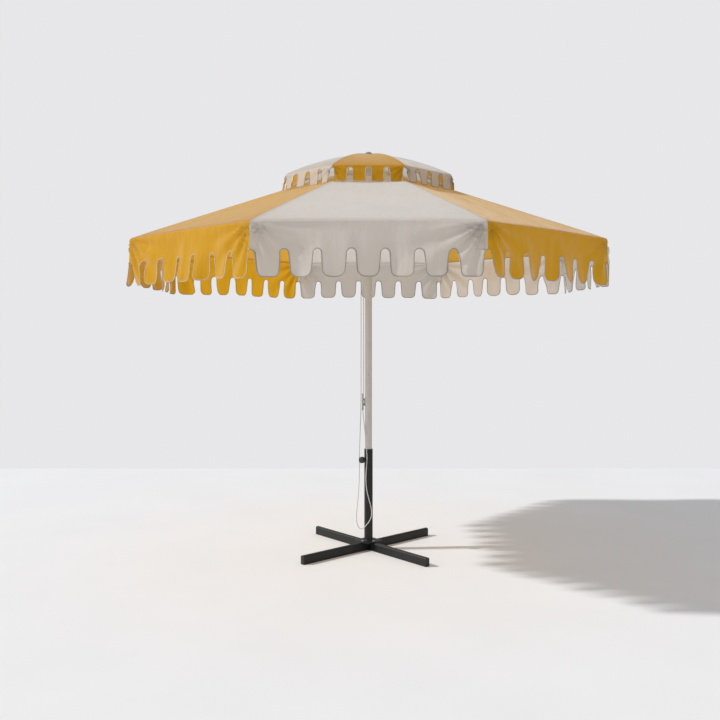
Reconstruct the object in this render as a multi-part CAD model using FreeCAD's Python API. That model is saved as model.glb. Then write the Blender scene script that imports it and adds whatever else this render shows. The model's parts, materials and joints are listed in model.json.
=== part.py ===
"""Octagonal two-tier parasol: a steel cross base, a two-part pole, a rope-hoisted folding
frame of eight ribs and eight struts, and a raised vent tier with its own short ribs.

Millimetres, +Z up. The origin is on the floor under the pole. Panels face +-X and +-Y,
ribs stand at 22.5 degrees and every 45 degrees after that. -Y is the front.
"""
import FreeCAD, Part
import math
import os
from FreeCAD import Rotation, Vector

# ---- driving dimensions ----
SIDES = 8
RIB_RADIUS = 1400.0          # fabric corner, from the pole axis
EDGE_Z = 1820.0              # fabric corner height
APEX_Z = 2331.0              # where the rib lines of the main fabric meet
VALANCE_DROP = 256.0
VENT_RADIUS = 525.0          # corner of the vent tier
VENT_TOP_Z = 2386.0
PROP_RADIUS = 300.0          # where the vent rib's prop stands on the main rib
VENT_DROP = 82.0
OPENING_RADIUS = 380.0       # the main fabric stops here, under the vent tier
CLOTH = 2.0                  # thickness of the plain fabric solids
SEAM_GAP = 0.5               # clearance between neighbouring fabric solids
POLE_R = 21.0
TUBE_R, TUBE_BORE_R = 25.5, 22.5
TUBE_TOP_Z = 607.0
JOINT_Z = 1118.0             # where the two pole halves meet
HUB_Z = 2305.0               # rib hinge height
HUB_R = 36.0                 # rib hinge radius
VENT_HINGE = (37.0, 2370.0)  # radius and height of the vent rib hinge
STRUT_REACH = 560.0          # along the rib, hinge to strut pin
STRUT_OFFSET = 17.0          # strut pin below the rib's centre line
LEG = 500.0                  # half length of each base bar
BAR_W, BAR_H, BAR_WALL, BAR_FILLET = 28.0, 50.0, 2.0, 9.0
BASE_TURN = -3.5             # the cross stands a little askew under the canopy
PIN_R = 2.5
ROPE_R = 2.5
KNOB_Z = 545.0
KNOB_TURN = 224.0            # compass direction of the clamp knob, from +X
PULLEY = Vector(-36.0, 0.0, 2262.0)
PULLEY_PITCH_R = 9.0
CLEAT_Z = (839.0, 941.0)

# ---- worked out from them ----
STEP = 360.0 / SIDES
HALF = math.radians(STEP / 2)
PLATE_Z = BAR_H
PLATE_T = 5.0
TUBE_Z = PLATE_Z + PLATE_T
POLE_TOP = HUB_Z - 13.0
RIB_SLOPE = math.degrees(math.atan((APEX_Z - EDGE_Z) / RIB_RADIUS))
STRUT_LEN = math.hypot(STRUT_REACH, STRUT_OFFSET)
STRUT_SLOPE = RIB_SLOPE + math.degrees(math.atan(STRUT_OFFSET / STRUT_REACH))
RUNNER_Z = HUB_Z - 2 * STRUT_LEN * math.sin(math.radians(STRUT_SLOPE))
KNOB_DIR = Vector(math.cos(math.radians(KNOB_TURN)), math.sin(math.radians(KNOB_TURN)), 0)
X, Y, Z = Vector(1, 0, 0), Vector(0, 1, 0), Vector(0, 0, 1)
ORIGIN = Vector(0, 0, 0)

os.makedirs("parts", exist_ok=True)


# ---- helpers ----
def save(name, *solids):
    """One STEP file of one or more separate solids."""
    shape = solids[0] if len(solids) == 1 else Part.makeCompound(list(solids))
    shape.exportStep("parts/" + name + ".step")


def box(x0, x1, y0, y1, z0, z1):
    return Part.makeBox(x1 - x0, y1 - y0, z1 - z0, Vector(x0, y0, z0))


def rod(radius, start, end):
    """A round bar from one point to another."""
    run = end - start
    return Part.makeCylinder(radius, run.Length, start, run)


def ring(outer, inner, z0, z1):
    return rod(outer, Vector(0, 0, z0), Vector(0, 0, z1)).cut(
        rod(inner, Vector(0, 0, z0 - 1), Vector(0, 0, z1 + 1)))


def cross_pin(radius, half, x=0.0, z=0.0):
    """A pin along Y."""
    return rod(radius, Vector(x, -half, z), Vector(x, half, z))


def turned(shape, degrees, axis=Z, about=ORIGIN):
    copy = shape.copy()
    copy.rotate(about, axis, degrees)
    return copy


def moved(shape, x=0.0, y=0.0, z=0.0):
    copy = shape.copy()
    copy.translate(Vector(x, y, z))
    return copy


def plate(points, normal, thickness):
    """A flat plate: its outline, and the way it thickens."""
    face = Part.Face(Part.makePolygon(points + [points[0]]))
    return face.extrude(normal * thickness)


def fused(shapes):
    return shapes[0].multiFuse(shapes[1:]).removeSplitter()


def rib_angles():
    return [STEP / 2 + STEP * k for k in range(SIDES)]


def panel_angles():
    return [STEP * k for k in range(SIDES)]


# ---- base ----
def rounded_profile(width, height, radius, x):
    """A closed outline across X: flat bottom, two rounded upper corners."""
    w, r = width / 2, radius
    c = r * (1 - math.sqrt(0.5))
    bottom = (BAR_H - height) / 2
    top = bottom + height
    p = [Vector(x, -w, bottom), Vector(x, w, bottom), Vector(x, w, top - r),
         Vector(x, w - c, top - c), Vector(x, w - r, top), Vector(x, -w + r, top),
         Vector(x, -w + c, top - c), Vector(x, -w, top - r)]
    edges = [Part.makeLine(p[0], p[1]), Part.makeLine(p[1], p[2]),
             Part.Arc(p[2], p[3], p[4]).toShape(), Part.makeLine(p[4], p[5]),
             Part.Arc(p[5], p[6], p[7]).toShape(), Part.makeLine(p[7], p[0])]
    return Part.Face(Part.Wire(edges))


def base_bar(notch_low, notch_high, turn):
    """A hollow bar along X with half of its height cut away at the crossing."""
    outer = rounded_profile(BAR_W, BAR_H, BAR_FILLET, -LEG + 3).extrude(X * (2 * LEG - 6))
    inner = rounded_profile(BAR_W - 2 * BAR_WALL, BAR_H - 2 * BAR_WALL, BAR_FILLET - BAR_WALL,
                            -LEG).extrude(X * 2 * LEG)
    half = BAR_W / 2 + 0.3
    bar = outer.cut(inner).cut(box(-half, half, -BAR_W, BAR_W, notch_low, notch_high))
    for x in (-46.0, 46.0):
        bar = bar.cut(rod(4.2, Vector(x, 0, BAR_H / 2), Vector(x, 0, BAR_H + 5)))
    return turned(bar, turn)


def end_cap(turn):
    """A plug with a rounded flange that closes one end of a bar."""
    flange = rounded_profile(BAR_W, BAR_H, BAR_FILLET, LEG - 3).extrude(X * 3)
    plug = rounded_profile(BAR_W - 2 * BAR_WALL - 0.4, BAR_H - 2 * BAR_WALL - 0.4,
                           BAR_FILLET - BAR_WALL, LEG - 25).extrude(X * 22)
    return turned(flange.fuse(plug), turn)


def make_base():
    diagonal = 45.0 + BASE_TURN
    save("base_bar_lower", base_bar(BAR_H / 2, BAR_H + 1, diagonal))
    save("base_bar_upper", base_bar(-1, BAR_H / 2 + 0.1, diagonal + 90))
    save("bar_end_caps", *[end_cap(diagonal + 90 * k) for k in range(4)])
    size = 62.0
    square = box(-size, size, -size, size, PLATE_Z, TUBE_Z)
    corners = [e for e in square.Edges if abs(e.tangentAt(e.FirstParameter).z) > 0.9]
    pad = square.makeFillet(14.0, corners)
    bolts = []
    for k in range(4):
        spot = turned(rod(4.2, Vector(46, 0, PLATE_Z - 1), Vector(46, 0, TUBE_Z + 1)), 90 * k)
        pad = pad.cut(spot)
        head = rod(8.0, Vector(46, 0, TUBE_Z), Vector(46, 0, TUBE_Z + 4.5))
        shank = rod(4.0, Vector(46, 0, PLATE_Z - 14), Vector(46, 0, TUBE_Z))
        bolts.append(turned(head.fuse(shank), diagonal + 90 * k))
    save("base_plate", turned(pad, diagonal))
    save("base_bolts", *bolts)


def make_base_tube():
    """Socket tube with its weld ring and the boss that the clamp screw runs in."""
    tube = ring(TUBE_R, TUBE_BORE_R, TUBE_Z, TUBE_TOP_Z)
    weld = Part.makeCone(TUBE_R + 6, TUBE_R, 6, Vector(0, 0, TUBE_Z), Z).cut(
        rod(TUBE_BORE_R, Vector(0, 0, TUBE_Z - 1), Vector(0, 0, TUBE_Z + 8)))
    at = Vector(0, 0, KNOB_Z)
    boss = rod(9.0, at + KNOB_DIR * 24.0, at + KNOB_DIR * 38.0)
    hole = rod(5.05, at + KNOB_DIR * 20.0, at + KNOB_DIR * 40.0)
    save("base_tube", fused([tube, weld, boss]).cut(hole))


def make_clamp():
    at = Vector(0, 0, KNOB_Z)
    save("clamp_screw", rod(5.0, at + KNOB_DIR * (POLE_R + 0.4), at + KNOB_DIR * 54.0))
    head = rod(19.0, at + KNOB_DIR * 44.0, at + KNOB_DIR * 66.0)
    head = head.makeFillet(5.0, [e for e in head.Edges if isinstance(e.Curve, Part.Circle)])
    for k in range(9):
        groove = moved(rod(3.2, Vector(0, 0, 40.0), Vector(0, 0, 70.0)), x=20.6)
        groove.rotate(ORIGIN, Z, 40.0 * k)
        groove.rotate(ORIGIN, Y, 90.0)
        groove.rotate(ORIGIN, Z, KNOB_TURN)
        head = head.cut(moved(groove, z=KNOB_Z))
    stem = rod(9.5, at + KNOB_DIR * 40.0, at + KNOB_DIR * 46.0)
    hole = rod(5.05, at + KNOB_DIR * 39.0, at + KNOB_DIR * 54.3)
    save("clamp_knob", head.fuse(stem).cut(hole))


# ---- pole ----
BUTTON_Z = 1055.0


def make_poles():
    button_hole = rod(4.3, Vector(0, -30, BUTTON_Z), Vector(0, -10, BUTTON_Z))
    screws = [rod(2.2, Vector(-24, 0, z), Vector(-10, 0, z)) for z in (876.0, 904.0)]
    lower = ring(POLE_R, 19.2, TUBE_Z + 0.2, JOINT_Z).cut(button_hole)
    for hole in screws:
        lower = lower.cut(hole)
    save("lower_pole", lower)
    upper = ring(POLE_R, 18.6, JOINT_Z + 0.2, POLE_TOP)
    spigot = ring(19.0, 17.0, 1030.0, JOINT_Z + 17)
    save("upper_pole", upper.fuse(spigot).cut(button_hole))
    button = rod(4.0, Vector(0, -24.0, BUTTON_Z), Vector(0, -13.0, BUTTON_Z))
    front = [e for e in button.Edges if e.BoundBox.YMax < -23.9]
    flange = rod(6.5, Vector(0, -15.0, BUTTON_Z), Vector(0, -13.0, BUTTON_Z))
    save("pole_button", button.makeFillet(1.8, front).fuse(flange))


def make_cleat():
    """Horn cleat on the left of the pole: a pad, two posts, one horn bar and two screws."""
    low, high = CLEAT_Z
    pad = box(-26.5, -20.0, -7, 7, 866, 914).cut(
        rod(POLE_R, Vector(0, 0, 860), Vector(0, 0, 920)))
    posts = [rod(4.5, Vector(-25, 0, z), Vector(-34, 0, z)) for z in (876.0, 904.0)]
    bar = rod(4.2, Vector(-34, 0, low + 4), Vector(-34, 0, high - 4))
    knobs = [Part.makeSphere(5.4, Vector(-34, 0, z)) for z in (low + 5.4, high - 5.4)]
    body = fused([pad] + posts + [bar] + knobs)
    screws = []
    for z in (876.0, 904.0):
        body = body.cut(rod(2.0, Vector(-15, 0, z), Vector(-45, 0, z)))
        body = body.cut(rod(3.6, Vector(-36, 0, z), Vector(-45, 0, z)))
        shank = rod(1.95, Vector(-16, 0, z), Vector(-36.5, 0, z))
        screws.append(shank.fuse(rod(3.4, Vector(-36.1, 0, z), Vector(-38.2, 0, z))))
    save("rope_cleat", body, *screws)


# ---- top hub, pulley and runner ----
def slots(inner, width, low, high, start=STEP / 2):
    one = box(inner, 70, -width / 2, width / 2, low, high)
    return [turned(one, start + STEP * k) for k in range(SIDES)]


def make_hub():
    core = rod(22.0, Vector(0, 0, POLE_TOP), Vector(0, 0, 2380))
    crown = rod(44.0, Vector(0, 0, POLE_TOP), Vector(0, 0, HUB_Z + 12))
    upper = rod(44.0, Vector(0, 0, VENT_HINGE[1] - 10), Vector(0, 0, VENT_HINGE[1] + 3.5))
    spigot = rod(18.4, Vector(0, 0, POLE_TOP - 50), Vector(0, 0, POLE_TOP))
    cheeks = [box(-50, -22.2, y, y + 2.0, PULLEY.z - 14, POLE_TOP) for y in (-5.6, 3.6)]
    hub = fused([core, crown, upper, spigot] + cheeks)
    hub = hub.cut(Part.makeCompound(slots(25.0, 7.4, POLE_TOP - 1, HUB_Z + 13)))
    hub = hub.cut(Part.makeCompound(slots(28.0, 6.4, VENT_HINGE[1] - 11, VENT_HINGE[1] + 10)))
    pins, holes = [], []
    for angle in rib_angles():
        for radius, z, r in ((HUB_R, HUB_Z, PIN_R), (VENT_HINGE[0], VENT_HINGE[1], 2.0)):
            pins.append(turned(cross_pin(r, 8.0, radius, z), angle))
            holes.append(turned(cross_pin(r + 0.02, 8.2, radius, z), angle))
    pins.append(cross_pin(PIN_R, 5.6, PULLEY.x, PULLEY.z))
    holes.append(cross_pin(PIN_R + 0.02, 5.9, PULLEY.x, PULLEY.z))
    save("top_hub", hub.cut(Part.makeCompound(holes)))
    save("hub_pins", *pins)
    stud = rod(6.0, Vector(0, 0, 2380), Vector(0, 0, VENT_TOP_Z))
    disc = rod(29.0, Vector(0, 0, VENT_TOP_Z), Vector(0, 0, 2390))
    dome = Part.makeSphere(31.14, Vector(0, 0, 2372.86)).common(
        rod(26.0, Vector(0, 0, 2390), Vector(0, 0, 2410)))
    save("finial", fused([stud, disc, dome]))
    wheel = cross_pin(11.0, 3.4, PULLEY.x, PULLEY.z).cut(
        Part.makeTorus(PULLEY_PITCH_R, 3.3, PULLEY, Y)).cut(
        cross_pin(PIN_R + 0.05, 5.0, PULLEY.x, PULLEY.z))
    save("pulley_wheel", wheel)


def make_runner():
    sleeve = rod(28.0, Vector(0, 0, RUNNER_Z - 62), Vector(0, 0, RUNNER_Z + 20))
    crown = rod(45.0, Vector(0, 0, RUNNER_Z - 11), Vector(0, 0, RUNNER_Z + 11))
    body = fused([sleeve, crown])
    low, high = RUNNER_Z - 12, RUNNER_Z + 12
    body = body.cut(Part.makeCompound(slots(28.0, 9.4, low, high)))
    groove = box(HUB_R - 2.8, HUB_R + 2.8, -7.2, 7.2, low, high)
    body = body.cut(Part.makeCompound([turned(groove, a) for a in rib_angles()]))
    body = body.cut(box(-60, -27.2, -3.2, 3.2, RUNNER_Z - 80, RUNNER_Z + 40))
    bore = rod(POLE_R + 0.5, Vector(0, 0, RUNNER_Z - 80), Vector(0, 0, RUNNER_Z + 40))
    save("runner", body.cut(bore))


# ---- folding frame ----
def along_rib(shape, slope, radius, z, angle):
    """Takes a shape built along +X from its hinge to its place at rest."""
    placed = turned(shape, slope, Y)
    placed.translate(Vector(radius, 0, z))
    return turned(placed, angle)


def make_rib(number, angle):
    """Box-section rib, flat hinge tongue, tip cap, and the clevis and pin for its strut."""
    length = (RIB_RADIUS - 12.0 - HUB_R) / math.cos(math.radians(RIB_SLOPE))
    tube = box(66, length - 6, -6, 6, -9, 9).cut(box(60, length, -4.5, 4.5, -7.5, 7.5))
    tongue = fused([cross_pin(8.0, 3.0), box(0, 110, -3, 3, -7, 7)]).cut(
        cross_pin(PIN_R + 0.08, 5.0))
    cap = fused([box(length - 6, length, -6, 6, -9, 9),
                 box(length - 30, length - 6, -4.3, 4.3, -7.3, 7.3)])
    x, z = STRUT_REACH, -STRUT_OFFSET
    clevis = box(x - 18, x + 18, -6, 6, z - 8, -9).cut(box(x - 20, x + 20, -4.6, 4.6, z - 9, -9.9))
    clevis = clevis.cut(cross_pin(PIN_R + 0.02, 7.0, x, z))
    pin = cross_pin(PIN_R, 6.0, x, z)
    solids = [along_rib(s, RIB_SLOPE, HUB_R, HUB_Z, angle) for s in (tube, tongue, cap, clevis, pin)]
    save("rib_%d" % number, *solids)


def make_strut(number, angle):
    """Flat bar from the runner (its own cross pin) up to the eye at the rib."""
    bar = fused([box(0, STRUT_LEN, -4, 4, -6.5, 6.5), cross_pin(6.5, 4.0),
                 cross_pin(6.5, 4.0, STRUT_LEN), cross_pin(2.4, 6.8)])
    bar = bar.cut(cross_pin(PIN_R + 0.08, 5.0, STRUT_LEN))
    save("strut_%d" % number, along_rib(bar, -STRUT_SLOPE, HUB_R, RUNNER_Z, angle))


def corner(radius, degrees, z):
    a = math.radians(degrees)
    return Vector(radius * math.cos(a), radius * math.sin(a), z)


def make_panel(number, angle):
    """One flat fabric panel between two ribs, from the vent opening to the edge."""
    def height(radius):
        return APEX_Z - (APEX_Z - EDGE_Z) * radius / RIB_RADIUS

    points = []
    for radius, side in ((OPENING_RADIUS, -1), (RIB_RADIUS, -1), (RIB_RADIUS, 1), (OPENING_RADIUS, 1)):
        p = corner(radius, side * STEP / 2, height(radius))
        points.append(p - Y * side * SEAM_GAP)
    normal = (points[1] - points[0]).cross(points[3] - points[0]).normalize()
    save("panel_%d" % number, turned(plate(points, normal, CLOTH), angle))


TABS = 7
SLOT_W, SLOT_H = 46.0, 126.0


def make_valance(number, angle):
    """The hanging edge of one panel, cut into tabs by round-topped slots."""
    width = 2 * RIB_RADIUS * math.sin(HALF)
    outer = RIB_RADIUS * math.cos(HALF) - 1.0
    low, high = EDGE_Z - VALANCE_DROP, EDGE_Z - 1.5
    half = width / 2 - 2.0
    strip = box(outer - CLOTH, outer, -half, half, low, high)
    pitch = width / TABS
    cuts = []
    for k in range(TABS + 1):
        y = -width / 2 + pitch * k
        crest = low + SLOT_H - SLOT_W / 2
        cuts.append(box(outer - 5, outer + 5, y - SLOT_W / 2, y + SLOT_W / 2, low - 1, crest))
        cuts.append(rod(SLOT_W / 2, Vector(outer - 5, y, crest), Vector(outer + 5, y, crest)))
    save("valance_%d" % number, turned(strip.cut(Part.makeCompound(cuts)), angle))


def vent_height(radius):
    """Height of the vent tier's ridge: a low dome that falls away faster towards its edge."""
    return VENT_TOP_Z - 0.093 * radius - 0.0004 * radius ** 2


def vent_bar():
    """Bowed bar under the ridge, with its hinge tongue and a prop that stands on the main rib."""
    rows = {1: [], -1: []}
    for radius in (VENT_HINGE[0], 270.0, VENT_RADIUS - 8.0):
        slope = math.atan(0.093 + 0.0008 * radius)
        across = Vector(math.sin(slope), 0, math.cos(slope))
        centre = Vector(radius, -4.0, vent_height(radius) - 9.5)
        if radius == VENT_HINGE[0]:
            centre.z = VENT_HINGE[1]
        for side in (1, -1):
            rows[side].append(centre + across * 5.0 * side)
    top, low = rows[1], rows[-1]
    edges = [Part.Arc(*top).toShape(), Part.makeLine(top[2], low[2]),
             Part.Arc(low[2], low[1], low[0]).toShape(), Part.makeLine(low[0], top[0])]
    bar = Part.Face(Part.Wire(edges)).extrude(Y * 8)
    for y in (2.8, -9.0):
        bar = bar.cut(box(20, 66, y, y + 6.2, VENT_HINGE[1] - 30, VENT_HINGE[1] + 20))
    foot = turned(box(-7, 7, -5, 5, 0, 3), RIB_SLOPE, Y)
    x = PROP_RADIUS
    rib_top = HUB_Z - (x - HUB_R) * math.tan(math.radians(RIB_SLOPE)) + 9.6
    foot.translate(Vector(x, 0, rib_top + 1.0))
    post = box(x - 4, x + 4, -3, 3, rib_top + 2.5, vent_height(x) - 10)
    eye = moved(cross_pin(5.0, 2.8), VENT_HINGE[0], z=VENT_HINGE[1])
    hole = cross_pin(2.08, 5.0, VENT_HINGE[0], VENT_HINGE[1])
    return fused([bar, eye, post, foot]).cut(hole)


def make_vent_gore(number, angle):
    """One eighth of the vent tier, centred on its rib: bar, fabric wings and hanging edge."""
    solids = [turned(vent_bar(), angle)]
    for side in (-1, 1):
        across = Vector(-math.sin(HALF), math.cos(HALF) * side, 0)
        rows = []
        for radius in (26.0, 150.0, 300.0, VENT_RADIUS):
            z = vent_height(radius)
            rows.append((Vector(radius, 0, z) + across * 0.02,
                         corner(radius * math.cos(HALF), side * STEP / 2, z) - across * SEAM_GAP))
        leaves = [plate([a[0], b[0], b[1], a[1]], Z, CLOTH) for a, b in zip(rows, rows[1:])]
        solids.append(turned(fused(leaves), angle))
        inward = Vector(-math.cos(HALF), -math.sin(HALF) * side, 0)
        a = rows[-1][0] - Z + inward + across * 1.5
        b = rows[-1][1] - Z + inward
        strip = plate([a, b, b - Z * (VENT_DROP - 1), a - Z * (VENT_DROP - 1)], inward, CLOTH)
        solids.append(turned(strip, angle))
    save("vent_gore_%d" % number, *solids)


# ---- halyard ----
def bent_rope(points, radius=ROPE_R):
    """A round rope along straight runs joined by arcs as large as the runs allow."""
    edges, start, sizes = [], points[0], []
    for before, at, after in zip(points, points[1:], points[2:]):
        a, b = (before - at), (after - at)
        turn = math.pi - a.getAngle(b)
        back = 0.45 * min(a.Length, b.Length)
        sizes.append(back / math.tan(turn / 2))
        first = at + a.normalize() * back
        last = at + b.normalize() * back
        middle = (a + b).normalize()
        away = sizes[-1] / math.cos(turn / 2) - sizes[-1]
        edges.append(Part.makeLine(start, first))
        edges.append(Part.Arc(first, at + middle * away, last).toShape())
        start = last
    edges.append(Part.makeLine(start, points[-1]))
    wire = Part.Wire(edges)
    profile = Part.Wire(Part.makeCircle(radius, points[0], points[1] - points[0]))
    solid = wire.makePipeShell([profile], True, False)
    print("rope length %.1f, least bend radius %.1f, volume ratio %.4f" % (
        wire.Length, min(sizes), solid.Volume / (math.pi * radius ** 2 * wire.Length)))
    return solid


# The free tail of the halyard: down from the cleat on the outer side of the knob, round a
# loose loop in front of the socket tube, and back up to the foot of the cleat.
TAIL = [(-45, 0, 892), (-46, -2, 832), (-49, -6, 762), (-51, -9, 690), (-54, -12, 620),
        (-56, -13, 548), (-55, -15, 476), (-57, -19, 404), (-61, -24, 334), (-68, -28, 268),
        (-73, -31, 208), (-70, -33, 160), (-55, -34, 130), (-33, -35, 130), (-14, -36, 152),
        (6, -37, 176), (20, -37, 212), (17, -37, 258), (3, -37, 306), (-11, -37, 362),
        (-17, -37, 425), (-13, -37, 490), (-8, -37, 552), (-12, -33, 614), (-18, -27, 680),
        (-25, -18, 750), (-32, -9, 806), (-34, -1, 837)]


def make_halyard():
    left = PULLEY.x - PULLEY_PITCH_R
    right = PULLEY.x + PULLEY_PITCH_R
    turn = Part.makeTorus(PULLEY_PITCH_R, ROPE_R, PULLEY, Y).common(
        box(-60, 0, -10, 10, PULLEY.z, PULLEY.z + 30))
    hoist = rod(ROPE_R, Vector(left, 0, 892.2), Vector(left, 0, PULLEY.z))
    save("halyard_hoist", fused([turn, hoist]))
    lift = rod(ROPE_R, Vector(right, 0, RUNNER_Z + 20.5), Vector(right, 0, PULLEY.z - 0.3))
    down = rod(ROPE_R, Vector(-30, 0, CLEAT_Z[1] + 0.5), Vector(-30, 0, RUNNER_Z - 62.5))
    save("halyard_runs", lift, down)
    save("halyard_tail", bent_rope([Vector(*p) for p in TAIL]))


make_base()
make_base_tube()
make_clamp()
make_poles()
make_cleat()
make_hub()
make_runner()
make_halyard()
for index, rib_angle in enumerate(rib_angles(), 1):
    make_rib(index, rib_angle)
    make_strut(index, rib_angle)
    make_vent_gore(index, rib_angle)
for index, panel_angle in enumerate(panel_angles(), 1):
    make_panel(index, panel_angle)
    make_valance(index, panel_angle)
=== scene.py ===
"""Two-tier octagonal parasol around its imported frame: cloth canopy with scalloped edges, vent tier,
halyard, and procedural materials on every carried-over part. Metres, +Z up, front -Y."""
import json
import math
import random

import bpy
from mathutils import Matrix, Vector, noise


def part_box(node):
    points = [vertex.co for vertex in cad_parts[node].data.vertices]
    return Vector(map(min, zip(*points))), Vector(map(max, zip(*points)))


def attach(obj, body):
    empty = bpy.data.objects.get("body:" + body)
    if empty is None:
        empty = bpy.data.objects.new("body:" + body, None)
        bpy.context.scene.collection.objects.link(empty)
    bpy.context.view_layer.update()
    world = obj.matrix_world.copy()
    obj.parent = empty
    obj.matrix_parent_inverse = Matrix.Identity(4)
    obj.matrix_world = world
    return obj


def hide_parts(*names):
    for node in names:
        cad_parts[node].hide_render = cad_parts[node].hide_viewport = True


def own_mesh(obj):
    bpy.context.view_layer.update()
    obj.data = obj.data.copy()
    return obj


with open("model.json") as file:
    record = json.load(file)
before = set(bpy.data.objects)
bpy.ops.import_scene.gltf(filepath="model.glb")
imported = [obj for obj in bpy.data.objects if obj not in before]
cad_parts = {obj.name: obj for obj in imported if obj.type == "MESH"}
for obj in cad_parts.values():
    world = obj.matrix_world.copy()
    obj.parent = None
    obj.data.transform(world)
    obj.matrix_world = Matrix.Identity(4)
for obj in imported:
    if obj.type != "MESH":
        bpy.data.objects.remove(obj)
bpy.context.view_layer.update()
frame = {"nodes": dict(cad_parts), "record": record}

SIDES = 8
HALF = math.radians(22.5)
Z = Vector((0, 0, 1))

# ---- camera: eye height and distance from the pole, with a slight shift ----
EYE = Vector((0, -5.022, 1.335))
FOCAL = 829.4 / 720                             # in picture widths
SHIFT = (-8.5 / 720, -31.5 / 720)
FILM = 36
camera = bpy.data.objects.new("Camera", bpy.data.cameras.new("Camera"))
bpy.context.scene.collection.objects.link(camera)
camera.location = EYE
camera.rotation_euler = (math.pi / 2, 0, 0)
camera.data.lens = FOCAL * FILM
camera.data.sensor_width = FILM
camera.data.shift_x, camera.data.shift_y = SHIFT
camera.data.clip_end = 200
bpy.context.scene.camera = camera

# ---- halyard ----
ROPE_R = 0.0025
TAIL = [(-45, 0, 892), (-46, -2, 832), (-49, -6, 762), (-51, -9, 690), (-54, -12, 620),
        (-56, -13, 548), (-55, -15, 476), (-57, -19, 404), (-61, -24, 334), (-68, -28, 268),
        (-73, -31, 208), (-70, -33, 160), (-55, -34, 130), (-33, -35, 130), (-14, -36, 152),
        (6, -37, 176), (20, -37, 212), (17, -37, 258), (3, -37, 306), (-11, -37, 362),
        (-17, -37, 425), (-13, -37, 490), (-8, -37, 552), (-12, -33, 614), (-18, -27, 680),
        (-25, -18, 750), (-32, -9, 806), (-34, -1, 837)]


def rope(name, points):
    """A smooth rope through control points given in millimetres."""
    curve = bpy.data.curves.new(name, "CURVE")
    curve.dimensions = "3D"
    spline = curve.splines.new("NURBS")
    spline.points.add(len(points) - 1)
    for point, at in zip(spline.points, points):
        point.co = (at[0] / 1000, at[1] / 1000, at[2] / 1000, 1)
        point.radius = ROPE_R
    spline.order_u = 3
    spline.use_endpoint_u = True
    spline.resolution_u = 10
    curve.bevel_depth = 1.0                     # times the points' own radius
    curve.bevel_resolution = 4
    curve.use_fill_caps = True
    obj = bpy.data.objects.new(name, curve)
    bpy.context.scene.collection.objects.link(obj)
    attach(obj, "pole")
    return obj


def polyline_length(points):
    return sum((Vector(b) - Vector(a)).length for a, b in zip(points, points[1:])) / 1000


END_GAP = 0.5                                   # between a rope's end and the runner, mm
runner_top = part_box("runner")[1].z * 1000 + END_GAP
runner_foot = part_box("runner")[0].z * 1000 - END_GAP
hoist_points = [(-45, 0, 892), (-45, 0, 1400), (-45, 0, 2000), (-45, 0, 2240), (-45, 0, 2262),
                (-44, 0, 2268), (-40.5, 0, 2271.5), (-36, 0, 2272.5), (-31.5, 0, 2271.5),
                (-28, 0, 2268), (-27, 0, 2262)]
hoist = rope("Halyard_hoist", hoist_points)
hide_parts("halyard_hoist")
lift_points = [(-27, 0, 2262), (-27, 0, 2150), (-27, 0, 2000), (-27, 0, runner_top)]
lift = rope("Halyard_lift", lift_points)
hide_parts("halyard_runs")
down_points = [(-30, 0, runner_foot), (-30, 0, 1700), (-30, 0, 1200), (-30, 0, 941.5)]
down = rope("Halyard_down", down_points)
tail = rope("Halyard_tail", TAIL)
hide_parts("halyard_tail")
for piece, points, lay, length in ((hoist, hoist_points, "taut", 1.4),
                                   (lift, lift_points, "taut", None),
                                   (down, down_points, "taut", None),
                                   (tail, TAIL, "hanging", 1.517)):
    start = [c / 1000 for c in points[0]]
    length or polyline_length(points)

# ---- cloth dimensions ----
RIB_RADIUS, EDGE_Z, APEX_Z = 1.400, 1.820, 2.331
EDGE = RIB_RADIUS * math.cos(HALF)              # panel edge, from the pole axis
HALF_W = RIB_RADIUS * math.sin(HALF)
SLOPE = math.atan((APEX_Z - EDGE_Z) / EDGE)
OPENING = 0.380 * math.cos(HALF)
VENT_RADIUS = 0.525
VENT_EDGE = VENT_RADIUS * math.cos(HALF)
VENT_HALF_W = VENT_RADIUS * math.sin(HALF)
VENT_DROP = 0.090
HEM = 0.034                                     # cloth turned in under the roof edge
BOW = 0.014                                     # how far a taut edge pulls in at its middle

FOLD_R, CORNER_R = 0.010, 0.018                 # over the roof edge, and round each corner
TURN = math.pi / 2 - SLOPE
FOLD_T = FOLD_R * math.tan(TURN / 2)
FOLD_L = FOLD_R * TURN


def smooth(x):
    x = min(1.0, max(0.0, x))
    return x * x * (3 - 2 * x)


def wave(x, y, seed):
    return noise.noise(Vector((x, y, seed * 7.31)))


def axes(azimuth):
    a = math.radians(azimuth)
    return Vector((math.cos(a), math.sin(a), 0)), Vector((-math.sin(a), math.cos(a), 0))


def mesh_object(name, verts, faces, uvs, material):
    mesh = bpy.data.meshes.new(name)
    mesh.from_pydata(verts, [], faces)
    layer = mesh.uv_layers.new(name="cloth")
    for loop in mesh.loops:
        layer.data[loop.index].uv = uvs[loop.vertex_index]
    mesh.materials.append(material)
    mesh.shade_smooth()
    obj = bpy.data.objects.new(name, mesh)
    bpy.context.scene.collection.objects.link(obj)
    return obj


def grid_object(name, surface, us, vs, material, cut):
    """A sheet over a grid; surface gives each pair's point, and cut its place in the flat cloth."""
    verts = [surface(u, v) for v in vs for u in us]
    uvs = [cut(u, v) for v in vs for u in us]
    n = len(us)
    faces = [(j * n + i, j * n + i + 1, (j + 1) * n + i + 1, (j + 1) * n + i)
             for j in range(len(vs) - 1) for i in range(n - 1)]
    return mesh_object(name, verts, faces, uvs, material)


def cloth_normal(surface, u, v):
    e = 0.0015
    du = surface(u + e, v) - surface(u - e, v)
    dv = surface(u, v + e) - surface(u, v - e)
    return du.cross(dv).normalized()


# ---- roof panels ----
ROOF_END = EDGE - FOLD_T * math.cos(SLOPE) + 0.001


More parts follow.
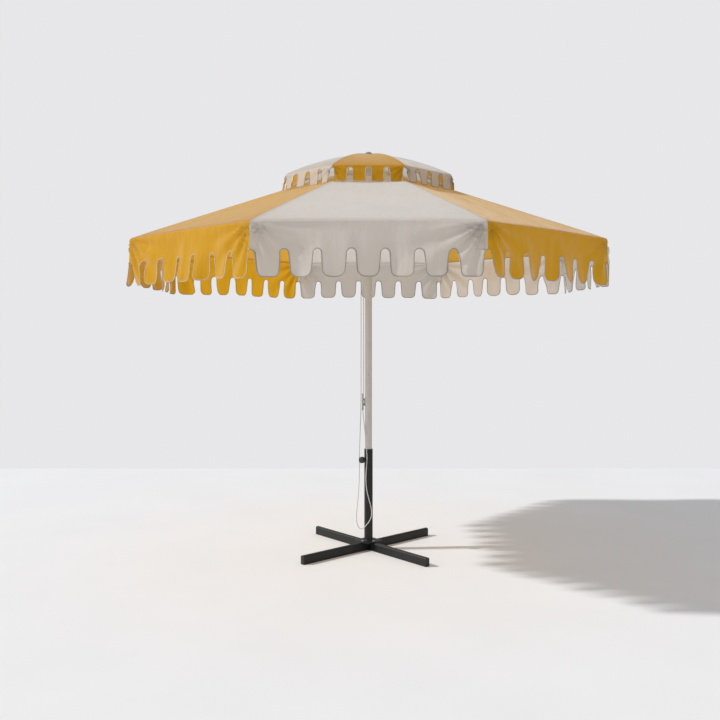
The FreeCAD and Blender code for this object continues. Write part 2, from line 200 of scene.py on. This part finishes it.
def roof_cut(s, t):
    """Flat panel: a straight-edged trapezium, narrow end at the vent opening."""
    a = OPENING + (ROOF_END - OPENING) * t
    return s * a * math.tan(HALF), a / math.cos(SLOPE)


def roof_surface(azimuth, seed):
    out, across = axes(azimuth)
    rng = random.Random(seed)
    pulls = [(side, 0.5 + 0.5 * rng.random(), rng.random() * 6) for side in (-1, 1)]

    def surface(s, t):
        """s runs -1..1 from rib to rib, t 0..1 from the vent opening to the edge."""
        a = OPENING + (ROOF_END - OPENING) * t
        belly = 1 - s * s
        a -= BOW * belly * t * t
        z = APEX_Z - math.tan(SLOPE) * a + 0.0004 + 0.0018 * (1 - smooth((t - 0.85) / 0.15))
        z -= 0.010 * belly * math.sin(math.pi * min(1, max(0, t))) ** 0.8
        w = s * a * math.tan(HALF)
        rib_gap = (1 - abs(s)) * a * math.tan(HALF)
        z += 0.0010 * (1 - smooth((rib_gap - 0.008) / 0.004)) * (1 - smooth((t - 0.9) / 0.1))
        for side, strength, phase in pulls:
            du, dt = (1 - side * s) * a * math.tan(HALF), (1 - t) * (EDGE - OPENING)
            reach = math.hypot(du, dt)
            angle = math.atan2(du, dt + 1e-6)
            fold = math.sin(angle * 13 + phase) * math.exp(-reach / 0.22) * smooth(reach / 0.05)
            z += 0.0040 * strength * fold * smooth(rib_gap / 0.02) * (1 - smooth((t - 0.94) / 0.06))
        z += 0.0022 * wave(s * 2.2, t * 2.0, seed) * smooth(rib_gap / 0.03)
        return out * a + across * w + Z * z

    return surface


# ---- hanging edges ----
def fold_profile(v, slope, radius):
    """(outward, up) from the edge corner at cloth distance v, over a soft rounded fold."""
    turn = math.pi / 2 - slope
    reach, length = radius * math.tan(turn / 2), radius * turn
    up_slope = (-math.cos(slope), math.sin(slope))
    if v <= -length / 2:
        d = reach - (v + length / 2)
        return up_slope[0] * d, up_slope[1] * d
    if v >= length / 2:
        return 0.0, -reach - (v - length / 2)
    start = (up_slope[0] * reach, up_slope[1] * reach)
    centre = (start[0] - math.sin(slope) * radius, start[1] - math.cos(slope) * radius)
    angle = slope + (v + length / 2) / radius
    return centre[0] + math.sin(angle) * radius, centre[1] + math.cos(angle) * radius


class Tabs:
    """Slot and tab outline of a hanging edge, in cloth coordinates."""

    def __init__(self, half_w, count, top, bottom, slot, flare, corner, rng):
        self.half_w, self.count, self.top = half_w, count, top
        self.slot, self.flare = slot, flare
        self.pitch = 2 * half_w / count
        self.bottoms = [bottom + rng.uniform(-1, 1) * 0.012 * bottom for _ in range(count)]
        self.widths = [slot * (1 + rng.uniform(-0.10, 0.10)) for _ in range(count + 1)]
        self.corners = [corner * rng.uniform(0.8, 1.2) for _ in range(count)]
        self.widths[0] = self.widths[-1] = slot

    def rows(self, tab):
        """Drops below the slot's crest, closer together on its rounded top and at the corners."""
        height = self.bottoms[tab] - self.top
        arc = [self.slot * (1 - math.cos(math.radians(a))) for a in (0, 15, 30, 45, 60, 75, 90)]
        low = [height - self.corners[tab] + self.corners[tab] * math.sin(math.radians(a))
               for a in (0, 18, 36, 54, 72, 90)]
        steps = 8
        mid = [arc[-1] + (low[0] - arc[-1]) * i / steps for i in range(1, steps)]
        return arc + mid + low

    def half_gap(self, tab, side, d):
        """Half of the slot's width beside a tab, at drop d below the crest."""
        r = self.widths[tab + side]
        height = self.bottoms[tab] - self.top
        gap = math.sqrt(max(0.0, r * r - (r - d) ** 2)) if d < r else r
        gap += self.flare * max(0.0, d - r) / height
        below = d - (height - self.corners[tab])
        if below > 0:
            gap += self.corners[tab] - math.sqrt(max(0.0, self.corners[tab] ** 2 - below ** 2))
        return gap


def edge_surface(azimuth, seed, edge, edge_z, half_w, slope, radius, tabs, looseness, bow,
                 flare_out):
    out, across = axes(azimuth)
    rng = random.Random(seed)
    tilts = [rng.uniform(-1, 1) for _ in range(tabs.count)]
    curls = [rng.uniform(-0.7, 1.0) for _ in range(tabs.count)]
    gathers = [(side, rng.uniform(0.45, 1.0), rng.random() * 6) for side in (-1, 1)]
    scale = half_w / HALF_W

    def surface(u, v):
        x = max(-1.0, min(1.0, u / half_w))
        r, h = fold_profile(v, slope, radius)
        pull = bow * (1 - x * x)
        r -= pull
        h += pull * math.tan(slope)
        corner_gap = half_w - abs(u)
        hang = max(0.0, v)
        free = smooth(corner_gap / 0.035) * smooth(hang / (0.08 * scale))
        push = looseness * hang * (1.6 * wave(u * 5.2, hang * 2.2, seed)
                                   + 0.5 * wave(u * 15.0, hang * 3.0, seed + 3)) * free
        for side, strength, phase in gathers:
            du = half_w - side * u
            reach = math.hypot(du, hang)
            angle = math.atan2(du, hang + 1e-6)
            fold = math.sin(angle * 15 + phase) * math.exp(-reach / (0.17 * scale))
            fold *= smooth(reach / (0.03 * scale)) * smooth(corner_gap / 0.02)
            push += looseness * 0.27 * scale * strength * fold * smooth(hang / 0.03)
        tab = min(tabs.count - 1, max(0, int((u + half_w) / tabs.pitch)))
        below = max(0.0, v - tabs.top)
        middle = -half_w + (tab + 0.5) * tabs.pitch
        height = tabs.bottoms[tab] - tabs.top
        push += looseness * (1.1 * tilts[tab] * (u - middle) * smooth(below / height)
                             + 0.10 * curls[tab] * height * (below / height) ** 2)
        push += flare_out * hang
        r += push
        # the corner is a soft turn, not a crease
        round_r = CORNER_R * radius / FOLD_R
        reach = round_r * math.tan(HALF)
        side = 1 if u >= 0 else -1
        if corner_gap < reach:
            angle = HALF * (1 - max(0.0, corner_gap) / reach)
            base = half_w - reach + r * math.tan(HALF)
            w = side * (base + math.sin(angle) * round_r)
            r -= round_r * (1 - math.cos(angle))
        else:
            w = u * (1 + r * math.tan(HALF) / half_w)
        return out * (edge + r) + across * w + Z * (edge_z + h)

    return surface


def edge_mesh(name, surface, tabs, fold, hem, material, first=0, last=None, columns=10):
    """The hanging edge as one sheet: a full band above the slots, then the separate tabs."""
    last = tabs.count if last is None else last
    cells = range(first, last)
    band = [-hem] + [fold * (i / 8 - 0.5) for i in range(9)]
    steps = max(1, round((tabs.top - fold / 2) / 0.012))
    band += [fold / 2 + (tabs.top - fold / 2) * i / steps for i in range(1, steps + 1)]
    left = -tabs.half_w + tabs.pitch * first
    us = [left + tabs.pitch * i / columns for i in range(columns * len(cells) + 1)]
    verts = [surface(u, v) for v in band for u in us]
    uvs = [(u, v) for v in band for u in us]
    n = len(us)
    faces = [(j * n + i, j * n + i + 1, (j + 1) * n + i + 1, (j + 1) * n + i)
             for j in range(len(band) - 1) for i in range(n - 1)]
    for number, tab in enumerate(cells):
        row = [(len(band) - 1) * n + number * columns + i for i in range(columns + 1)]
        seam = -tabs.half_w + tab * tabs.pitch
        for d in tabs.rows(tab)[1:]:
            lo = seam + tabs.half_gap(tab, 0, d)
            hi = seam + tabs.pitch - tabs.half_gap(tab, 1, d)
            below = []
            for i in range(columns + 1):
                u = lo + (hi - lo) * i / columns
                below.append(len(verts))
                verts.append(surface(u, tabs.top + d))
                uvs.append((u, tabs.top + d))
            faces += [(row[i], row[i + 1], below[i + 1], below[i]) for i in range(columns)]
            row = below
    return mesh_object(name, verts, faces, uvs, material)


def binding_mesh(name, surface, tabs, material, width, first=0, last=None):
    """Folded tape sewn over the whole scalloped rim."""
    last = tabs.count if last is None else last
    path = []
    for tab in range(first, last):
        seam = -tabs.half_w + tab * tabs.pitch
        rows = tabs.rows(tab)
        down = [(seam + tabs.half_gap(tab, 0, d), tabs.top + d) for d in rows]
        up = [(seam + tabs.pitch - tabs.half_gap(tab, 1, d), tabs.top + d) for d in reversed(rows)]
        lo, hi = down[-1], up[0]
        base = [(lo[0] + (hi[0] - lo[0]) * i / 6, lo[1]) for i in range(1, 6)]
        path += (down if not path else down[1:]) + base + up
    half = 0.0011
    section = [(width, half), (-0.0012, half), (-0.0012, -half), (width, -half)]
    verts, uvs, faces = [], [], []
    run = 0.0
    for i, (u, v) in enumerate(path):
        before, after = path[max(0, i - 1)], path[min(len(path) - 1, i + 1)]
        tu, tv = after[0] - before[0], after[1] - before[1]
        size = math.hypot(tu, tv) or 1.0
        inward = (tv / size, -tu / size)
        if i:
            run += math.hypot(u - path[i - 1][0], v - path[i - 1][1])
        normal = cloth_normal(surface, u, v)
        for k, (depth, lift) in enumerate(section):
            verts.append(surface(u + inward[0] * depth, v + inward[1] * depth) + normal * lift)
            uvs.append((run, k * width))
        if i:
            a, b = (i - 1) * 4, i * 4
            faces += [(a + k, a + (k + 1) % 4, b + (k + 1) % 4, b + k) for k in range(4)]
    end = len(path) * 4
    faces += [(0, 1, 2, 3), (end - 1, end - 2, end - 3, end - 4)]
    return mesh_object(name, verts, faces, uvs, material)


# ---- materials ----
class Nodes:
    """Short hand for a material's node tree."""

    def __init__(self, name, colour, roughness, metallic=0.0):
        self.material = bpy.data.materials.new(name)
        self.material.use_nodes = True
        self.tree = self.material.node_tree
        self.shader = self.tree.nodes["Principled BSDF"]
        self.shader.inputs["Base Color"].default_value = (*colour, 1)
        self.shader.inputs["Roughness"].default_value = roughness
        self.shader.inputs["Metallic"].default_value = metallic
        self.coords = self.tree.nodes.new("ShaderNodeTexCoord")

    def add(self, kind, **inputs):
        node = self.tree.nodes.new("ShaderNode" + kind)
        for key, value in inputs.items():
            node.inputs[key.replace("_", " ")].default_value = value
        return node

    def link(self, a, b):
        self.tree.links.new(a, b)

    def scaled(self, source, scale):
        node = self.add("Mapping")
        node.inputs["Scale"].default_value = scale
        self.link(self.coords.outputs[source], node.inputs["Vector"])
        return node.outputs["Vector"]

    def noise(self, vector, scale, detail=4.0, rough=0.55):
        node = self.add("TexNoise", Scale=scale, Detail=detail, Roughness=rough)
        self.link(vector, node.inputs["Vector"])
        return node.outputs["Fac"]

    def bands(self, vector, scale, direction, distortion=0.0):
        node = self.add("TexWave", Scale=scale, Distortion=distortion, Detail=1.0)
        node.bands_direction = direction
        self.link(vector, node.inputs["Vector"])
        return node.outputs["Fac"]

    def maths(self, operation, a, b):
        node = self.tree.nodes.new("ShaderNodeMath")
        node.operation = operation
        for socket, value in zip(node.inputs, (a, b)):
            if isinstance(value, (int, float)):
                socket.default_value = value
            else:
                self.link(value, socket)
        return node.outputs[0]

    def ramp(self, factor, stops):
        node = self.tree.nodes.new("ShaderNodeValToRGB")
        elements = node.color_ramp.elements
        while len(elements) < len(stops):
            elements.new(0.5)
        for element, (at, colour) in zip(elements, stops):
            element.position = at
            element.color = (*colour, 1) if len(colour) == 3 else colour
        self.link(factor, node.inputs["Fac"])
        return node.outputs["Color"]

    def paint(self, colour):
        self.link(colour, self.shader.inputs["Base Color"])

    def rough(self, factor, low, high):
        node = self.add("MapRange")
        node.inputs["To Min"].default_value = low
        node.inputs["To Max"].default_value = high
        self.link(factor, node.inputs["Value"])
        self.link(node.outputs["Result"], self.shader.inputs["Roughness"])

    def bump(self, height, distance, strength=1.0, over=None):
        node = self.add("Bump", Strength=strength, Distance=distance)
        if over is not None:
            self.link(over, node.inputs["Normal"])
        self.link(height, node.inputs["Height"])
        self.link(node.outputs["Normal"], self.shader.inputs["Normal"])
        return node.outputs["Normal"]


def shade(colour, factor):
    return tuple(min(1.0, c * factor) for c in colour)


def canvas(name, colour, glow, share):
    """Woven canvas: crossed threads with uneven yarns, a faint bloom of dust, light through it."""
    m = Nodes(name, colour, 0.85)
    flat = m.scaled("UV", (1, 1, 1))
    warp = m.bands(flat, 420, "X", 0.6)
    weft = m.bands(flat, 420, "Y", 0.6)
    weave = m.maths("MULTIPLY", warp, weft)
    yarns = m.maths("ADD", m.noise(m.scaled("UV", (900, 22, 1)), 1.0, 2),
                    m.noise(m.scaled("UV", (22, 900, 1)), 1.0, 2))
    cloud = m.noise(m.scaled("Object", (1, 1, 1)), 5.5, 5)
    tone = m.maths("ADD", m.maths("MULTIPLY", yarns, 0.28), m.maths("MULTIPLY", cloud, 0.44))
    m.paint(m.ramp(tone, [(0.25, shade(colour, 0.88)), (0.52, colour), (0.8, shade(colour, 1.06))]))
    m.rough(cloud, 0.78, 0.92)
    height = m.maths("ADD", m.maths("MULTIPLY", weave, 0.5), m.maths("MULTIPLY", yarns, 0.4))
    creases = m.noise(m.scaled("UV", (13, 5, 1)), 1.0, 3, 0.5)
    normal = m.bump(height, 0.0005, 0.55, over=m.bump(creases, 0.02, 0.5))
    m.shader.inputs["Sheen Weight"].default_value = 0.9
    m.shader.inputs["Sheen Roughness"].default_value = 0.35
    m.shader.inputs["Specular IOR Level"].default_value = 0.25
    through = m.add("BsdfTranslucent", Color=(*glow, 1))
    m.link(normal, through.inputs["Normal"])
    mix = m.add("MixShader")
    mix.inputs["Fac"].default_value = share
    m.link(m.shader.outputs[0], mix.inputs[1])
    m.link(through.outputs[0], mix.inputs[2])
    m.link(mix.outputs[0], m.tree.nodes["Material Output"].inputs["Surface"])
    return m.material


def tape(name, colour):
    """Narrow ribbed tape that binds the scalloped rim."""
    m = Nodes(name, colour, 0.8)
    ribs = m.bands(m.scaled("UV", (1, 1, 1)), 260, "X", 0.3)
    cloud = m.noise(m.scaled("Object", (1, 1, 1)), 30, 3)
    m.paint(m.ramp(cloud, [(0.3, shade(colour, 0.85)), (0.7, shade(colour, 1.08))]))
    m.rough(cloud, 0.7, 0.9)
    m.bump(ribs, 0.0004, 0.6)
    return m.material


def coated_metal(name, colour, roughness, dust, wear):
    """Powder-coated tube: fine orange peel, a little dust, worn high spots."""
    m = Nodes(name, colour, roughness)
    place = m.scaled("Object", (1, 1, 1))
    peel = m.noise(place, 900, 2)
    streak = m.noise(m.scaled("Object", (60, 60, 3)), 1.0, 4)
    cloud = m.noise(place, 14, 5)
    tone = m.maths("MULTIPLY", m.maths("ADD", streak, cloud), 0.5)
    m.paint(m.ramp(tone, [(0.30, shade(colour, 1 - wear)), (0.5, colour), (0.72, dust)]))
    m.rough(cloud, roughness - 0.08, roughness + 0.14)
    m.bump(m.maths("ADD", peel, m.maths("MULTIPLY", cloud, 0.6)), 0.0003, 0.5)
    m.shader.inputs["Specular IOR Level"].default_value = 0.38
    m.shader.inputs["Coat Weight"].default_value = 0.05
    m.shader.inputs["Coat Roughness"].default_value = 0.35
    return m.material


def moulded(name, colour, roughness):
    """Moulded plastic with a fine spark-eroded grain."""
    m = Nodes(name, colour, roughness)
    place = m.scaled("Object", (1, 1, 1))
    grain = m.noise(place, 1400, 2)
    cloud = m.noise(place, 35, 4)
    m.paint(m.ramp(cloud, [(0.3, shade(colour, 0.86)), (0.7, shade(colour, 1.12))]))
    m.rough(cloud, roughness - 0.06, roughness + 0.1)
    m.bump(grain, 0.0002, 0.5)
    return m.material


def brushed(name, colour, roughness):
    """Turned or brushed steel with fine lines."""
    m = Nodes(name, colour, roughness, 1.0)
    lines = m.noise(m.scaled("Object", (1800, 1800, 60)), 1.0, 2)
    cloud = m.noise(m.scaled("Object", (1, 1, 1)), 60, 4)
    m.paint(m.ramp(cloud, [(0.3, shade(colour, 0.75)), (0.65, colour)]))
    m.rough(lines, roughness - 0.1, roughness + 0.15)
    m.bump(lines, 0.0001, 0.4)
    return m.material


def braid(name, colour):
    """Braided rope: crossing diagonal strands, with painted shade darkening the grooves between them.
    """
    m = Nodes(name, colour, 0.85)
    left = m.add("Mapping")
    left.inputs["Rotation"].default_value = (0.6, 0.5, 0)
    m.link(m.coords.outputs["Object"], left.inputs["Vector"])
    right = m.add("Mapping")
    right.inputs["Rotation"].default_value = (-0.6, -0.5, 0)
    m.link(m.coords.outputs["Object"], right.inputs["Vector"])
    a = m.bands(left.outputs["Vector"], 150, "Z", 0.4)
    b = m.bands(right.outputs["Vector"], 150, "Z", 0.4)
    strands = m.maths("MAXIMUM", a, b)
    # painted shade: the colour drops to 62 % in the low grooves of the strand pattern, where the bump
    # is lowest
    m.paint(m.ramp(strands, [(0.1, shade(colour, 0.62)), (0.6, colour)]))
    m.bump(strands, 0.0006, 0.8)
    return m.material


YELLOW, YELLOW_GLOW = (0.64, 0.345, 0.010), (0.95, 0.50, 0.01)
WHITE, WHITE_GLOW = (0.70, 0.66, 0.61), (0.92, 0.88, 0.82)
canvas_yellow = canvas("Canvas_yellow", YELLOW, YELLOW_GLOW, 0.34)
canvas_white = canvas("Canvas_white", WHITE, WHITE_GLOW, 0.34)
# painted light: the lining's white is a lighter copy of the white canvas and lets no light through,
# standing in for light on the inside of the hanging edge
lining_white_painted_light = canvas("Canvas_white_lining_painted_light", (0.86, 0.83, 0.79), WHITE_GLOW, 0.0)
tape_on_white = tape("Tape_taupe", (0.47, 0.42, 0.37))
tape_on_yellow = tape("Tape_sand", (0.60, 0.46, 0.30))
rope_braid = braid("Rope_braid", (0.74, 0.72, 0.67))
CREAM = (0.62, 0.605, 0.57)
metals = {
    "cream_paint": coated_metal("Cream_coated_steel", CREAM, 0.42, shade(CREAM, 1.05), 0.14),
    "frame_aluminium": coated_metal("Frame_coated_aluminium", (0.70, 0.68, 0.63), 0.42,
                                    (0.74, 0.72, 0.68), 0.16),
    "black_paint": coated_metal("Black_coated_steel", (0.009, 0.010, 0.009), 0.44,
                                (0.020, 0.021, 0.019), 0.3),
    "black_plastic": moulded("Black_plastic", (0.010, 0.010, 0.010), 0.5),
    "pale_plastic": moulded("Pale_plastic", (0.62, 0.60, 0.56), 0.5),
    "grey_plastic": moulded("Grey_plastic", (0.30, 0.28, 0.25), 0.5),
    "bare_steel": brushed("Brushed_steel", (0.55, 0.54, 0.52), 0.34),
}
for name, node in frame["nodes"].items():
    slot_name = next(s["material_slot"] for s in frame["record"]["subparts"] if s["node"] == name)
    look = "grey_plastic" if name == "rope_cleat" else slot_name
    if look in metals:
        node.data.materials.clear()
        node.data.materials.append(metals[look])
        node.data.shade_smooth()
        node.data.set_sharp_from_angle(angle=math.radians(32))
for piece in (hoist, lift, down, tail):
    piece.data.materials.append(rope_braid)

# ---- main canopy ----
# colours by panel, from +X round; the hanging edges follow their panels
PANEL_COLOURS = ["white", "yellow"] * 4
CLOTHS = {"white": (canvas_white, tape_on_white, "canvas_white"),
          "yellow": (canvas_yellow, tape_on_yellow, "canvas_yellow")}
# two hanging edges show the other colour on their inner face; the white one is painted lighter than
# the white canvas, as painted light for the dim inside of the edge
LININGS = {2: "white", 5: "yellow"}
LINING_CLOTHS = {"white": (lining_white_painted_light, "canvas_white"),
                 "yellow": (canvas_yellow, "canvas_yellow")}
LINING_GAP = 0.0007
LINING_HEM = 0.016
MAIN_TABS = dict(count=7, top=0.1290, bottom=0.2550, slot=0.0200, flare=0.0090, corner=0.031)
MAIN_LOOSENESS, MAIN_FLARE_OUT = 0.11, 0.02
MAIN_TAPE, VENT_TAPE = 0.0038, 0.0032           # width of the binding


def spread(count):
    """Cloth positions from rib to rib, closer together at both seams."""
    near = [0.0, 0.012, 0.024, 0.045, 0.075]
    middle = [0.075 + (2 - 0.15) * i / count for i in range(1, count)]
    return [x - 1 for x in near] + [x - 1 for x in middle] + [1 - x for x in reversed(near)]


def fold_away(piece, azimuth):
    tuple(axes(azimuth)[1])
    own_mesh(piece)


def make_panel(number, azimuth, colour):
    cloth, edging, slot_name = CLOTHS[colour]
    roof = grid_object("Roof_panel_%d" % number, roof_surface(azimuth, number),
                       spread(34), [i / 36 for i in range(37)], cloth, roof_cut)
    rng = random.Random(100 + number)
    tabs = Tabs(HALF_W, rng=rng, **MAIN_TABS)
    surface = edge_surface(azimuth, number, EDGE, EDGE_Z, HALF_W, SLOPE, FOLD_R, tabs,
                           MAIN_LOOSENESS, BOW, MAIN_FLARE_OUT)
    hanging = edge_mesh("Hanging_edge_%d" % number, surface, tabs, FOLD_L, HEM, cloth)
    rim = binding_mesh("Hanging_edge_tape_%d" % number, surface, tabs, edging, MAIN_TAPE)
    if number in LININGS:
        lining_cloth, lining_slot = LINING_CLOTHS[LININGS[number]]

        def inner(u, v):
            return surface(u, v) + cloth_normal(surface, u, v) * LINING_GAP

        lining = edge_mesh("Hanging_edge_lining_%d" % number, inner, tabs, FOLD_L, LINING_HEM,
                           lining_cloth)
        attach(lining, "valance_body_%d" % number)
        fold_away(lining, azimuth)
    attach(roof, "panel_body_%d" % number)
    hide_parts("panel_%d" % number)
    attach(hanging, "valance_body_%d" % number)
    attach(rim, "valance_body_%d" % number)
    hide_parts("valance_%d" % number)
    for piece in (roof, hanging, rim):
        fold_away(piece, azimuth)


for number in range(1, SIDES + 1):
    make_panel(number, 45 * (number - 1), PANEL_COLOURS[number - 1])

# ---- vent tier ----
VENT_TOP_Z, VENT_FALL, VENT_DISH = 2.386, 0.093, 0.4
VENT_TABS = dict(count=4, top=0.0095, bottom=VENT_DROP, slot=0.0155, flare=0.002, corner=0.011)
VENT_LOOSENESS, VENT_BOW, VENT_FLARE_OUT = 0.20, 0.004, 0.16
VENT_HEM = 0.010
VENT_SLOPE = math.atan((VENT_FALL + 2 * VENT_DISH * VENT_RADIUS) / math.cos(HALF))
VENT_FOLD_R = 0.010
VENT_FOLD_L = VENT_FOLD_R * (math.pi / 2 - VENT_SLOPE)
VENT_HINGE_R, PROP_R = 0.037, 0.300             # the vent ribs' hinges and props
HUB_Z, HUB_R = 2.305, 0.036                     # the main ribs' hinges


def vent_height(radius):
    return VENT_TOP_Z - VENT_FALL * radius - VENT_DISH * radius * radius


VENT_START, VENT_END = 0.012, VENT_EDGE - 0.007


def vent_run(a):
    """Distance down the curved vent roof from its start to distance a from the axis."""
    steps = 40
    total = 0.0
    for i in range(steps):
        one, two = (VENT_START + (a - VENT_START) * k / steps for k in (i, i + 1))
        drop = vent_height(one / math.cos(HALF)) - vent_height(two / math.cos(HALF))
        total += math.hypot(two - one, drop)
    return total


def vent_cut(s, t):
    a = VENT_START + (VENT_END - VENT_START) * t
    return s * a * math.tan(HALF), vent_run(a)


def vent_surface(azimuth, seed):
    out, across = axes(azimuth)

    def surface(s, t):
        a = VENT_START + (VENT_END - VENT_START) * t
        belly = 1 - s * s
        z = vent_height(a / math.cos(HALF)) + 0.0022
        z -= 0.006 * belly * t
        rib_gap = (1 - abs(s)) * a * math.tan(HALF)
        z += 0.0008 * (1 - smooth((rib_gap - 0.006) / 0.004))
        loose = smooth(rib_gap / 0.03) * (0.3 + 0.7 * t)
        z += 0.0045 * wave(s * 2.6, t * 3.0, seed + 20) * loose
        return out * a + across * (s * a * math.tan(HALF)) + Z * z

    return surface


def box_verts(centre, size, tilt):
    """Eight corners of a block at rest in the rib's upright plane, tilted about Y."""
    c, s = math.cos(tilt), math.sin(tilt)
    verts = []
    for x in (-1, 1):
        for y in (-1, 1):
            for z in (-1, 1):
                px, pz = x * size[0] / 2, z * size[2] / 2
                verts.append((centre[0] + px * c + pz * s, y * size[1] / 2,
                              centre[2] - px * s + pz * c))
    return verts


BLOCK = [(0, 1, 3, 2), (4, 6, 7, 5), (0, 4, 5, 1), (2, 3, 7, 6), (0, 2, 6, 4), (1, 5, 7, 3)]


def make_vent_rib(number, azimuth):
    """Bowed bar, its flattened hinge eye, and the prop that stands on the main rib."""
    verts, faces = [], []
    stations = [VENT_HINGE_R + (VENT_RADIUS - 0.008 - VENT_HINGE_R) * i / 18 for i in range(19)]
    for radius in stations:
        slope = math.atan(VENT_FALL + 2 * VENT_DISH * radius)
        blend = smooth((0.12 - radius) / 0.08)
        centre = vent_height(radius) - 0.0095 - 0.0025 * blend
        half = 0.0028 if radius < 0.07 else 0.004
        for y, lift in ((-half, -0.005), (half, -0.005), (half, 0.005), (-half, 0.005)):
            verts.append((radius + math.sin(slope) * lift, y, centre + math.cos(slope) * lift))
    for i in range(len(stations) - 1):
        a, b = i * 4, i * 4 + 4
        faces += [(a + k, b + k, b + (k + 1) % 4, a + (k + 1) % 4) for k in range(4)]
    end = len(verts)
    faces += [(0, 1, 2, 3), (end - 1, end - 2, end - 3, end - 4)]
    rib_slope = math.atan((APEX_Z - EDGE_Z) / RIB_RADIUS)
    foot_z = HUB_Z - (PROP_R - HUB_R) * math.tan(rib_slope) + 0.0106
    top_z = vent_height(PROP_R) - 0.012
    shoe = ((PROP_R, 0, foot_z + 0.0015), (0.014, 0.010, 0.003), rib_slope)
    post = ((PROP_R, 0, (foot_z + top_z) / 2), (0.008, 0.006, top_z - foot_z), 0)
    for centre, size, tilt in (shoe, post):
        start = len(verts)
        verts += box_verts(centre, size, tilt)
        faces += [tuple(start + i for i in face) for face in BLOCK]
    mesh = bpy.data.meshes.new("Vent_rib_%d" % number)
    mesh.from_pydata(verts, [], faces)
    mesh.materials.append(metals["frame_aluminium"])
    rib = bpy.data.objects.new(mesh.name, mesh)
    bpy.context.scene.collection.objects.link(rib)
    bevel = rib.modifiers.new("Edges", "BEVEL")
    bevel.width, bevel.segments, bevel.limit_method = 0.0008, 2, "ANGLE"
    rib.rotation_euler.z = math.radians(azimuth)
    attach(rib, "vent_body_%d" % number)
    return rib


def half_panel(name, surface, side, material):
    s_values = [x for x in spread(22) if x * side >= -1e-9]
    return grid_object(name, surface, s_values, [i / 20 for i in range(21)], material, vent_cut)


def make_vent_gore(number):
    azimuth = 22.5 + 45 * (number - 1)
    pieces = [make_vent_rib(number, azimuth)]
    for side, panel in ((1, number), (-1, number % SIDES + 1)):
        main = PANEL_COLOURS[panel - 1]
        cloth, edging, slot_name = CLOTHS["yellow" if main == "white" else "white"]
        panel_azimuth = 45 * (panel - 1)
        tag = "%d%s" % (number, "a" if side == 1 else "b")
        surface = vent_surface(panel_azimuth, panel)
        top = half_panel("Vent_panel_" + tag, surface, side, cloth)
        rng = random.Random(200 + panel)
        tabs = Tabs(VENT_HALF_W, rng=rng, **VENT_TABS)
        edge = edge_surface(panel_azimuth, 40 + panel, VENT_EDGE, vent_height(VENT_RADIUS),
                            VENT_HALF_W, VENT_SLOPE, VENT_FOLD_R, tabs, VENT_LOOSENESS,
                            VENT_BOW, VENT_FLARE_OUT)
        first = 2 if side == 1 else 0
        hanging = edge_mesh("Vent_edge_" + tag, edge, tabs, VENT_FOLD_L, VENT_HEM, cloth,
                            first, first + 2)
        rim = binding_mesh("Vent_edge_tape_" + tag, edge, tabs, edging, VENT_TAPE, first,
                           first + 2)
        for piece in (top, hanging, rim):
            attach(piece, "vent_body_%d" % number)
            fold_away(piece, azimuth)
            pieces.append(piece)
        vent_run(VENT_END)
    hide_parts("vent_gore_%d" % number)


for number in range(1, SIDES + 1):
    make_vent_gore(number)

# ---- floor and light ----
floor_mesh = bpy.data.meshes.new("Floor")
floor_mesh.from_pydata([(-14, -9, 0), (14, -9, 0), (14, 2.9, 0), (-14, 2.9, 0)], [], [(0, 1, 2, 3)])
floor = bpy.data.objects.new("Floor", floor_mesh)
bpy.context.scene.collection.objects.link(floor)
floor_look = Nodes("Floor", (0.88, 0.89, 0.91), 0.9)
floor_tone = floor_look.noise(floor_look.scaled("Object", (1, 1, 1)), 1.4, 4)
floor_look.paint(floor_look.ramp(floor_tone, [(0.3, (0.865, 0.875, 0.895)),
                                              (0.7, (0.895, 0.905, 0.925))]))
floor_mesh.materials.append(floor_look.material)

AMBIENT = 0.60
FILL_WATTS, FILL_SIZE = 60, 3.0
world = bpy.data.worlds.new("Studio")
bpy.context.scene.world = world
world.use_nodes = True
backdrop = world.node_tree.nodes["Background"]
backdrop.inputs["Color"].default_value = (0.80, 0.80, 0.815, 1)
seen = world.node_tree.nodes.new("ShaderNodeLightPath")
level = world.node_tree.nodes.new("ShaderNodeMapRange")
level.inputs["To Min"].default_value = AMBIENT
level.inputs["To Max"].default_value = 1.0
world.node_tree.links.new(seen.outputs["Is Camera Ray"], level.inputs["Value"])
world.node_tree.links.new(level.outputs["Result"], backdrop.inputs["Strength"])
sun = bpy.data.objects.new("Key", bpy.data.lights.new("Key", "SUN"))
bpy.context.scene.collection.objects.link(sun)
sun.data.energy = 2.35
sun.data.color = (1.0, 0.995, 0.985)
sun.data.angle = math.radians(2.2)
SUN_AZIMUTH, SUN_HEIGHT = math.radians(184), math.radians(38.5)
to_sun = Vector((math.cos(SUN_AZIMUTH) * math.cos(SUN_HEIGHT),
                 math.sin(SUN_AZIMUTH) * math.cos(SUN_HEIGHT), math.sin(SUN_HEIGHT)))
sun.rotation_mode = "QUATERNION"
sun.rotation_quaternion = to_sun.to_track_quat("Z", "Y")
fill = bpy.data.objects.new("Side_fill", bpy.data.lights.new("Side_fill", "AREA"))
bpy.context.scene.collection.objects.link(fill)
fill.data.energy, fill.data.size = FILL_WATTS, FILL_SIZE
fill.location = (-9.0, -1.0, 1.5)
fill.rotation_mode = "QUATERNION"
fill.rotation_quaternion = Vector((-1, 0, 0)).to_track_quat("Z", "Y")
fill.visible_camera = False
bpy.context.scene.view_settings.view_transform = "Standard"
